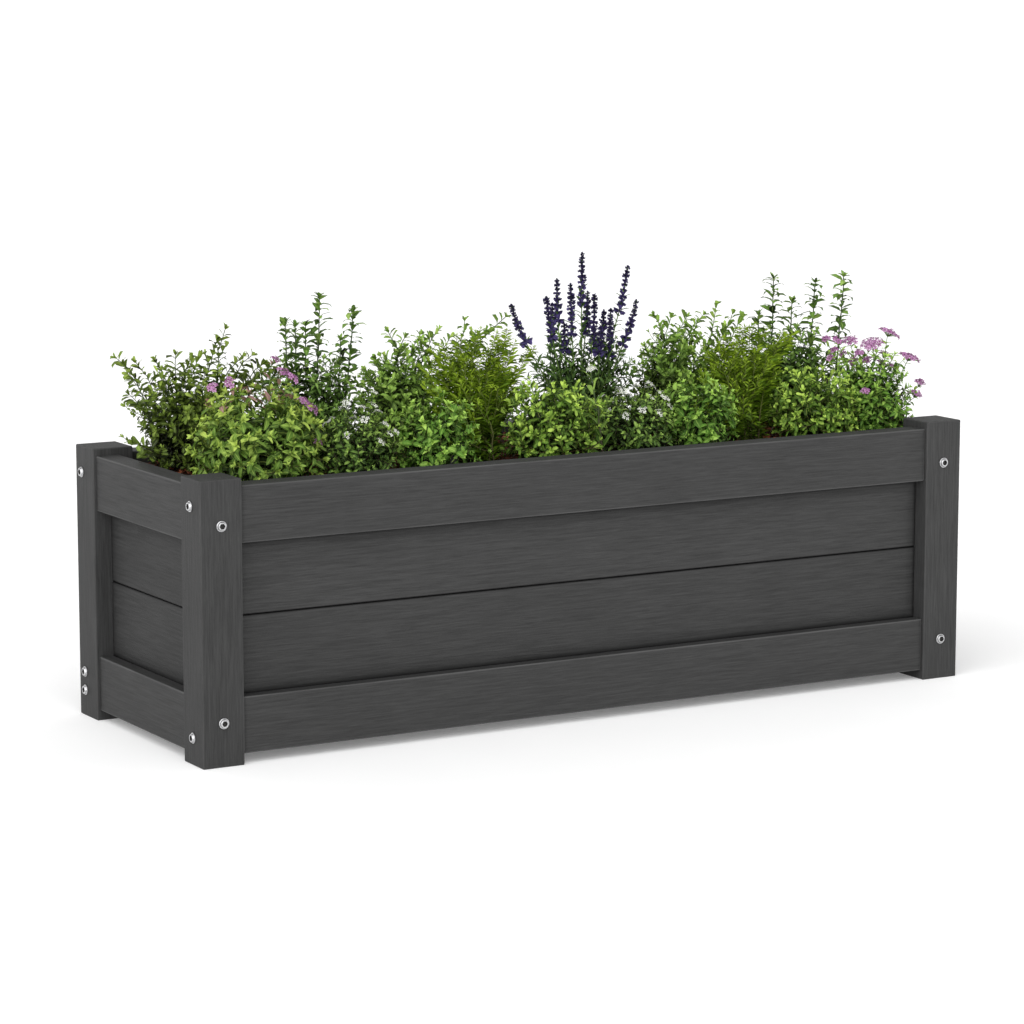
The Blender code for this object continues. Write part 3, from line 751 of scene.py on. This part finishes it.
def grow_spires(node, seed, leaf, stem, *tips):
    """Upright unbranched shoots with narrow leaves that arch over, above a leafy base."""
    plant = Plant(node, seed, LANCE, length=0.019, ratio=0.31, pitch=0.008, turn=87, angle=44,
                  curl=1.1, fold=0.2, face_up=0.1, face_out=0.2, roll=0.7, lift=0, rosette=7,
                  bare=0.05, taper=0.28, young=0.3)
    plant.mound(64, 0.082, 0.07, 0.14, 3, 0.04, 0.2)
    for x, y, z in metres(*tips):
        curve = plant.stem(plant.at(0.75 * x, 0.6 * y, 0), plant.seen(x, y, z), UP * 1.2,
                           0.0016, 0.0008, 12, wobble=0.002)
        plant.leafy(curve, length=0.027, ratio=0.42, each=3, turn=60, roll=0.4, young=0.12,
                    curl=1.5, angle=56, taper=0.26, bare=0.3)
    plant.finish(leaf, stem)


def grow_honeysuckle(node, seed, rx, ry, top, shift, leaf, stem, *tips):
    """Arching stems set with small oval leaves in flat opposite pairs. A tip may be followed
    by the share of its way out at which the stem leaves the ground."""
    plant = Plant(node, seed, SPOON, length=0.0165, ratio=0.46, pitch=0.0084, angle=54, curl=0.5,
                  face_up=0.2, turn=25, roll=0.7, lift=0, bare=0.1, taper=0.22, young=0.28)
    plant.mound(56, rx, ry, top, 4, 0.036, 0.5, x=shift)
    for x, y, z, *given in metres(*tips):
        foot = given[0] if given else 0.3
        out = unit(np.array((x, y, 0))) * (1 - foot) + UP * (foot - 0.3)
        curve = plant.stem(plant.at(foot * x, 0.4 * y, 0), plant.seen(x, y, z), out, 0.0013,
                           0.0006, 12)
        plant.leafy(curve, length=0.0218, ratio=0.5, pitch=0.0074, roll=0.45, curl=1, taper=0.3,
                    young=0.1, bare=0.25)
        plant.twigs(curve, 5, 0.036, low=0.25, high=0.78)
    plant.finish(leaf, stem)


def grow_fern(node, seed, root, leaf, stem, *fronds):
    """Fronds that rise from one crown and fan out, with narrow leaflets in two ranks."""
    plant = Plant(node, seed, NARROW, length=0.0182, ratio=0.29, pitch=0.005, turn=0, angle=42,
                  curl=0.6, face_up=0.1, face_out=0.5, roll=0.3, lift=0, bare=0.04, taper=0.45,
                  age=0.28, scatter=0.16)
    plant.spread = np.array((0.1, 0.1, 0.1))
    rng, root, fronds = plant.rng, np.array(root), metres(*fronds)
    inner = [(*(part * np.array((x, y)) + (1 - part) * root + rng.normal(0, (0.012, 0.014))),
              (part + 0.06) * z) for part in (0.62, 0.86) for x, y, z in fronds]
    low = [(*(root + (0.046 * math.cos(k * GOLDEN), 0.036 * math.sin(k * GOLDEN))),
            0.02 + 0.005 * k) for k in range(9)]
    for x, y, z in fronds + inner + low:
        start = plant.at(*(root + rng.normal(0, 0.009, 2)), -0.003)
        tip = plant.seen(x, y, z)
        flat = unit((tip - start) * np.array((1, 1, 0)))
        side = np.cross(flat, UP)
        curve = plant.stem(start, tip, flat * 0.5, 0.0012, 0.0004, 12)
        plant.leafy(curve, side=side)
        for k in range(4):
            index = 2 + 2 * k + int(rng.integers(0, 2))
            turn = rng.uniform(-1, 1)
            out = unit(flat * 0.3 + side * (0.9 if k % 2 else -0.9) + UP * 0.9
                       + rng.normal(0, 0.15, 3))
            reach = 0.04 * (1.2 - 0.1 * k) * rng.uniform(0.7, 1.1)
            foot = curve[index]
            ahead = unit(curve[index + 1] - foot)
            end = foot + unit(ahead * 1.4 + out * 0.6 + flat * 0.2 * turn) * reach
            twig = bezier(foot, foot + ahead * reach * 0.3, end - UP * 0.2 * reach, end, 6)
            plant.stems.add(twig, 0.0007, 0.0003)
            plant.leafy(twig, size=0.85, side=side, bare=0.1)
    plant.finish(leaf, stem)


WHORL_GAP = 0.0068  # extra room between the lowest whorls
WHORL_TIP_GAP = 0.005
WHORL_FLORETS = 8
SPIKE_POINTS = 14


def grow_salvia(leaf, stem, petal):
    """Upright flower spikes of dark whorls, on leafy stems."""
    plant = Plant("salvia", 71, LANCE, length=0.0215, ratio=0.29, pitch=0.0088, angle=46,
                  curl=0.8, face_up=0.2, roll=0.7, lift=0, rosette=3, bare=0.08, taper=0.4,
                  young=0.35)
    plant.mound(80, 0.088, 0.068, 0.156, 2, 0.04, 0.15, x=0.012)
    spikes = metres(  # then the share in flower, and how far out the stem starts
        (-107, -20, 197, 0.26, 0.22), (-50, -30, 208, 0.28, 0.45), (-32, 10, 229, 0.26, 0.6),
        (-10, -20, 223, 0.32, 0.6), (10, 0, 262, 0.26, 0.9), (20, 20, 206, 0.28, 0.6),
        (30, -20, 206, 0.38, 0.8), (47, 10, 178, 0.24, 0.6), (58, -20, 185, 0.36, 0.8),
        (86.5, -6, 243, 0.26, 0.35), (101, -16, 194, 0.32, 0.3), (-39, 30, 190, 0.3, 0.6),
        (40, -34, 160, 0.22, 0.6), (-20, -4, 165, 0.22, 0.6))
    for x, y, z, share, foot in spikes:
        curve = plant.stem(plant.at(foot * x, 0.5 * y, 0), plant.seen(x, y, z), UP * 0.7,
                           0.0014, 0.0006, SPIKE_POINTS, wobble=0.002)
        plant.leafy(curve[:max(5, int(SPIKE_POINTS * (1 - share)) + 2)])
        spike(plant, curve, 1 - share)
    plant.finish(leaf, stem, petal)


def spike(plant, curve, start):
    """Whorls of small lipped flowers, open and spaced low down, in tight bud at the tip."""
    rng, column = plant.rng, (WHORL_FLORETS, 1)
    along = distances(curve)
    total = along[-1]
    place, step = start * total, 0.004
    while place < total:
        share = max((place / total - start) / (1 - start), 0)
        base, after = (sample(curve, along, p) for p in (place, place + step))
        ahead = unit(after - base if place + step < total else curve[-1] - curve[-2])
        size = (0.0096 - 0.0052 * share ** 0.8) * rng.uniform(0.85, 1.15)
        turn = rng.uniform(0, 6.28) + np.arange(WHORL_FLORETS) * FULL_TURN / WHORL_FLORETS
        first = square_to(ahead, SHOOT_SIDE)
        out = around(turn, first, np.cross(ahead, first))
        axis = unit(out * rng.uniform(0.7, 1.1, column)
                    + ahead * (rng.normal(0.3, 0.28, column) + 0.9 * share ** 3))
        bases = base + ahead * rng.normal(0, 0.001, column)
        side = np.cross(axis, ahead)
        length = size * rng.uniform(0.75, 1.2, WHORL_FLORETS)
        tint = np.clip(0.2 + 0.4 * (1 - share) ** 2 + rng.normal(0, 0.18, WHORL_FLORETS),
                       0.14, 0.98)
        for k, bend in enumerate((1.1, 0.9, 0.9)):
            swing = k * FULL_TURN / 3
            lip = math.cos(swing) * np.cross(side, axis) + math.sin(swing) * side
            plant.petals.add(bases, axis + lip * 0.42, lip, length, length * 0.95, -bend, 0.8,
                             tint)
        place += WHORL_TIP_GAP + WHORL_GAP * (1 - min(share, 1)) ** 1.5


def grow_verbena(leaf, stem, petal):
    plant = Plant("verbena", 91, OVATE, length=0.0165, ratio=0.42, pitch=0.009, angle=60,
                  face_up=0.4, face_out=0.8, lift=-0.15)
    plant.mound(54, 0.051, 0.074, 0.12, 4, 0.034, 0.35, x=-0.01)
    heads = metres(  # then the head's size
        (18, 0, 145, 1), (-6, 10, 130, 1.05), (-46, 10, 136, 0.7), (55, 0, 107, 1.1),
        (24, 10, 93, 0.5), (14, 20, 111, 0.5), (77, 10, 66, 0.55), (68, 0, 52, 0.6),
        (-26, -50, 70, 0.35), (-68, 10, 137, 0.34), (-87, 20, 139, 0.28), (-30, 0, 118, 0.4),
        (-16, 10, 106, 0.4), (6, 10, 100, 0.35), (-56, 20, 116, 0.3), (-80, 10, 112, 0.3),
        (-38, 20, 104, 0.3), (-74, 0, 124, 0.3))
    for x, y, z, size in heads:
        plant.headed((0.25 * x, 0.4 * y), plant.seen(x, y, z - 0.009),
                     np.array((x, y, 0)) * 2, 0.92, (0.35 * np.sign(x), -0.2, 1),
                     0.0165 * size, max(6, int(25 * size)), 0.0043, bare=0.2, stalk=0.01,
                     tint=0.45)
    plant.finish(leaf, stem, petal)


# each: the green deep in the plant (painted shade), the middle and the young green, then perhaps
# the roughness and a blush colour
LEAVES = {
    "lime": ("080F04", "628432", "B4CB5F", 0.56, "987472"),
    "box": ("060C03", "5E842C", "C0DE64"),
    "mint": ("050D04", "5A862D", "AED262"),
    "dark": ("0C1405", "708834", "ACC25C", 0.5),
    "spire": ("0C1807", "618536", "A6C268"),
    "blue": ("0E1A09", "80A646", "BEDA70"),
    "alyssum": ("040903", "466426", "9EBE5C"),
    "olive": ("0E1A03", "547214", "92AE2E"),
    "sage": ("0C180A", "44622C", "7C9C50")}
PETALS = {
    "pink": ("7A3E68", "A6669C", "D6A2D0"),
    "white": ("BEC882", "E8EAE2", "FAFAF6"),
    "violet": ("141022", "261F3F", "564A84", 0.15)}
STEMS = {"green": ("4A3E24", "5C7834"), "dark": ("342A1C", "3A4C26"),
         "olive": ("3A3616", "546222")}


def grow_plants():
    lime, box, mint, dark, spire, blue, low_green, olive, sage = (
        leaf_material(name, *look) for name, look in LEAVES.items())
    pink, white, violet = (petal_material(name, *look) for name, look in PETALS.items())
    green_stem, dark_stem, olive_stem = (
        stem_material(name, *look) for name, look in STEMS.items())

    grow_shrub_pink(lime, green_stem, pink)
    for node, seed in (("mint_left", 21), ("mint_right", 23)):
        grow_dome(node, seed, OVATE, (42, 0.06, 0.076, 0.104, 4, 0.03, 0.35), mint, green_stem,
                  "leaf_mid", length=0.0185, ratio=0.54, pitch=0.0099, angle=64, face_up=0.4,
                  face_out=0.9, lift=-0.2, taper=0.4)
    for node, seed, rx, top in (("boxleaf_centre", 31, 0.074, 0.114),
                                ("boxleaf_right", 33, 0.068, 0.1)):
        grow_dome(node, seed, SPOON, (54, rx, 0.074, top, 4, 0.036, 0.45), box, green_stem,
                  "leaf_lime", length=0.0172, ratio=0.46, pitch=0.0091, angle=54, curl=0.45,
                  face_out=0.8, rosette=6, bare=0.22)
    grow_alyssum("alyssum_left", 41, low_green, dark_stem, white)
    grow_alyssum("alyssum_right", 43, low_green, dark_stem, white, stalk=True)
    grow_spires(
        "spurge_left", 51, spire, dark_stem, (-35, 0, 187), (-20.5, 10, 181), (-4, 0, 183),
        (17, 10, 219), (50, -10, 161), (69, 0, 199))
    grow_spires(
        "spurge_right", 53, spire, dark_stem, (-49, 30, 156), (-23, 30, 208), (11, 30, 173),
        (50, 10, 202), (96, -30, 213))
    grow_honeysuckle(
        "honeysuckle_left", 61, 0.065, 0.072, 0.128, 0.029, dark, dark_stem,
        (-84, -10, 156), (-57, 0, 147), (0, 0, 154), (22, 0, 148), (-30, 10, 146),
        (34, 20, 150), (60, 10, 168, 0.6), (74, 0, 185, 0.7), (112, 10, 146), (146, 10, 134),
        (98, 0, 146), (-58, -30, 44), (-66, -10, 106), (128, 20, 132), (160, 20, 124))
    grow_honeysuckle(
        "honeysuckle_centre", 63, 0.062, 0.07, 0.134, 0, blue, dark_stem,
        (-12, 0, 167), (12, 0, 158), (36, 10, 160), (64, 10, 164), (108, 20, 174, 0.85),
        (174, 20, 177), (-32, 0, 130), (-46, 0, 110), (140, 20, 158), (50, 20, 156),
        (84, 20, 152))
    grow_honeysuckle(
        "honeysuckle_right", 65, 0.068, 0.07, 0.147, 0.027, blue, green_stem,
        (-6, 0, 168), (23, 20, 161), (50, 20, 161), (78, 10, 164), (102, 20, 176, 0.8),
        (130, 20, 161, 0.6), (146, 20, 156, 0.6), (-22, 0, 124), (66, 0, 155))
    grow_fern(
        "fern_centre", 81, (-0.07, -0.105), olive, olive_stem,
        (-100, -60, 104), (-60, -20, 126), (-20, -40, 116), (30, -20, 104), (-90, 30, 142),
        (-50, 50, 158), (-20, 30, 164), (14, 50, 158), (44, 30, 146), (66, 30, 134),
        (44, 0, 112), (0, 20, 140), (-106, 0, 124), (30, 60, 160), (-36, -30, 134),
        (-74, 20, 150), (10, -30, 112), (58, 30, 84), (54, 50, 70))
    grow_fern(
        "fern_right", 83, (-0.045, -0.105), olive, olive_stem,
        (-60, -60, 86), (-40, -30, 116), (-6, -40, 116), (34, -50, 104), (-24, 20, 134),
        (14, 30, 144), (50, 30, 136), (80, 20, 122), (-48, 10, 124), (110, 10, 138),
        (64, 0, 112), (32, 40, 146), (0, -10, 128), (90, 20, 136))
    grow_salvia(sage, green_stem, violet)
    grow_verbena(mint, green_stem, pink)


# ---- soil and bark mulch
LUMP_WAVES = 14
MULCH_DIP = 0.0035  # the bed's middle height under the top of the mulch
MULCH_LUMP = 0.003
SOIL_LUMP = 0.0015
CHIPS = 3200
CHIP_CORNERS = 4
CHIP_LIFT = 0.006
CHIP_EDGE = 0.011  # between a chip's middle and the timber


def lumpy(x, y, seed):
    """Gentle lumps of a raked surface, from a few sine waves."""
    rng = np.random.default_rng(seed)
    height = np.zeros_like(x)
    for _ in range(LUMP_WAVES):
        wave = rng.normal(0, 1, 2) * 90
        height += np.sin(x * wave[0] + y * wave[1] + rng.uniform(0, 6.28))
    return height / LUMP_WAVES


def bed_block(name, low, high, lump, columns, rows, material, seed):
    """A closed block of loose fill with a lumpy top, filling the box between two corners."""
    gx, gy = np.meshgrid(np.linspace(low[0], high[0], columns),
                         np.linspace(low[1], high[1], rows), indexing="ij")
    top = high[2] + lump * lumpy(gx, gy, seed)
    top += np.random.default_rng(seed + 1).normal(0, 0.25 * lump, top.shape)
    under = np.full_like(top, low[2])
    points = np.concatenate([np.stack((gx, gy, z), -1).reshape(-1, 3) for z in (top, under)])
    total = columns * rows
    grid = np.arange(total).reshape(columns, rows)
    upper = np.stack((grid[:-1, :-1], grid[1:, :-1], grid[1:, 1:], grid[:-1, 1:]), -1)
    upper = upper.reshape(-1, 4)
    edge_highlight = np.concatenate((grid[:-1, 0], grid[-1, :-1], grid[:0:-1, -1], grid[0, :0:-1]))
    after = np.roll(edge_highlight, -1)
    walls = np.stack((edge_highlight, edge_highlight + total, after + total, after), -1)
    faces = np.concatenate((upper, upper[:, ::-1] + total, walls))
    return new_piece(name, points, faces.tolist(), material)


def soil_material():
    net = Net("dark_soil")
    crumbs, clods = net.noise(240, 5, 0.7), net.noise(60)
    colour = net.mottle(net.spread(crumbs, "160F0B", "462E21"), 0.6, clods, 0.55)
    net.bump(crumbs, 0.8, 0.003)
    return net.shade(colour, net.spread(clods, 0.8, 0.95), specular=0.2)


def bark_material():
    net = Net("bark_chips")
    fibre = net.noise(260, 4, 0.65, coords=net.coords((1, 2.5, 1)))
    colour = net.ramp(net.attribute("chip")[0], (0, "261610"), (0.35, "582E1E"),
                      (0.75, "864A30"), (1, "B07854"))
    net.bump(fibre, 0.7, 0.0015)
    colour = net.mottle(colour, 0.7, fibre, 0.5)
    return net.shade(colour, net.spread(fibre, 0.75, 0.92), specular=0.25)


def make_ground():
    earth = soil_material()
    low, high = (np.array(c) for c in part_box("soil"))
    soil = bed_block("soil_fill", low, high, SOIL_LUMP, 60, 20, earth, 5)
    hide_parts("soil")
    under = bed_block("mulch_bed", SOIL_LOW + (0, 0, 0.002), SOIL_HIGH - (0, 0, MULCH_DIP),
                      MULCH_LUMP, 120, 36, earth, 7)
    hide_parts("bark_mulch")
    make_chips(bark_material())


def make_chips(material):
    """Irregular flakes of bark lying at all angles on the soil."""
    rng = np.random.default_rng(17)
    length = rng.uniform(0.006, 0.019, CHIPS)
    width = length * rng.uniform(0.35, 0.75, CHIPS)
    thick = rng.uniform(0.001, 0.003, CHIPS)
    x, y = (rng.uniform(-room, room, CHIPS) for room in SOIL_HIGH[:2] - CHIP_EDGE)
    z = GROUND - MULCH_DIP + MULCH_LUMP * lumpy(x, y, 7) + rng.uniform(0, CHIP_LIFT, CHIPS)
    centre = np.stack((x, y, z), -1)
    turn = rng.uniform(0, 6.28, CHIPS)
    tilt = rng.normal(0, 0.32, (CHIPS, 2))
    along = unit(np.stack((np.cos(turn), np.sin(turn), tilt[:, 0]), -1))
    facing = square_to(along, np.stack((tilt[:, 1], -tilt[:, 1], np.ones(CHIPS)), -1))
    side = np.cross(facing, along)
    angle = (np.arange(CHIP_CORNERS) * FULL_TURN / CHIP_CORNERS
             + rng.normal(0, 0.22, (CHIPS, CHIP_CORNERS)))
    reach = rng.uniform(0.8, 1.1, (CHIPS, CHIP_CORNERS))
    u = (np.cos(angle) * reach * length[:, None] / 2)[:, :, None]
    v = (np.sin(angle) * reach * width[:, None] / 2)[:, :, None]
    flat = centre[:, None] + u * along[:, None] + v * side[:, None]
    half = (facing * thick[:, None] / 2)[:, None]
    points = np.concatenate((flat - half, flat * 0.9 + centre[:, None] * 0.1 + half), axis=1)
    faces = [face for k in range(CHIPS)
             for face in tube_faces(2 * CHIP_CORNERS * k, 2, CHIP_CORNERS)]
    chips = new_piece("mulch_chips", points.reshape(-1, 3), faces, material, smooth=False)
    tints = np.repeat(np.clip(rng.normal(0.42, 0.22, CHIPS), 0, 1), 2 * CHIP_CORNERS)
    paint(chips, "chip", tints[:, None])
    return chips


# ---- bolts
HEAD_SIDES = 30
HEAD_PROFILE = (  # depth under the face, and share of the radius
    (0.0039, 0.95), (0.0037, 1), (0.0029, 1), (0.0026, 0.96), (0.0025, 0.86),
    (0.0016, 0.82), (0.0007, 0.77), (0.0002, 0.72), (0, 0.64))
SOCKET_HALF = 0.0034  # half the width across the flats
SOCKET_SECTOR = math.pi / 3
SOCKET_PROFILE = ((0.0003, 1.03), (0.0034, 1), (0.0036, 0.3))
DIRECTIONS = {"front": (0, -1, 0), "back": (0, 1, 0), "left": (-1, 0, 0), "right": (1, 0, 0)}


def bolt_head(name, material, recess):
    """A flanged button head with a hexagon socket, on the axis and face of the CAD bolt."""
    low, high = (np.array(c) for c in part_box(name))
    out = np.array(DIRECTIONS[name.split("_")[1]], dtype=float)
    on_axis = np.abs(out) > 0.5
    radius = float((high - low)[~on_axis].max()) / 2
    face = np.where(on_axis, np.where(out > 0, high, low), (low + high) / 2)
    turn = np.arange(HEAD_SIDES) * FULL_TURN / HEAD_SIDES
    directions = around(turn, UP, np.cross(out, UP))
    hexagon = SOCKET_HALF / np.cos((turn + SOCKET_SECTOR / 2) % SOCKET_SECTOR
                                   - SOCKET_SECTOR / 2)
    rings = ([(deep, np.full(HEAD_SIDES, share * radius)) for deep, share in HEAD_PROFILE]
             + [(deep, share * hexagon) for deep, share in SOCKET_PROFILE])
    points = np.concatenate([face - out * deep + size[:, None] * directions
                             for deep, size in rings])
    head = new_piece(f"{name}_head", points, tube_faces(0, len(rings), HEAD_SIDES), material)
    # painted shade: the socket's faces take the near-black socket material
    head.data.materials.append(recess)
    for polygon in list(head.data.polygons)[-2 * HEAD_SIDES - 1:]:
        polygon.material_index = 1
    head.data.set_sharp_from_angle(angle=math.radians(40))
    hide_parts(name)


def zinc_material():
    net = Net("zinc_plate")
    spangle, stain = net.noise(520, 4, 0.6), net.noise(130, 2)
    colour = net.darken(net.spread(spangle, (0.46, 0.46, 0.47), (0.72, 0.72, 0.73)), 0.5,
                        net.ramp(stain, (0.35, 0.62), (0.65, 1)))
    net.bump(spangle, 0.25, 0.0003)
    return net.shade(colour, net.spread(spangle, 0.26, 0.42), metallic=1)


def socket_shade_material():
    """Painted shade down in the sockets."""
    net = Net("socket_painted_shade")
    socket_noise = net.noise(900)
    net.bump(socket_noise, 0.5, 0.0003)
    colour = net.spread(socket_noise, "1E1E1E", "3A3937")
    return net.shade(colour, net.spread(socket_noise, 0.55, 0.8), specular=0.3)


def make_bolts():
    zinc, recess = zinc_material(), socket_shade_material()
    for name in sorted(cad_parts):
        if name.startswith("bolt_"):
            bolt_head(name, zinc, recess)


make_light()
make_camera()
make_floor()
finish_timber()
make_ground()
make_bolts()
grow_plants()
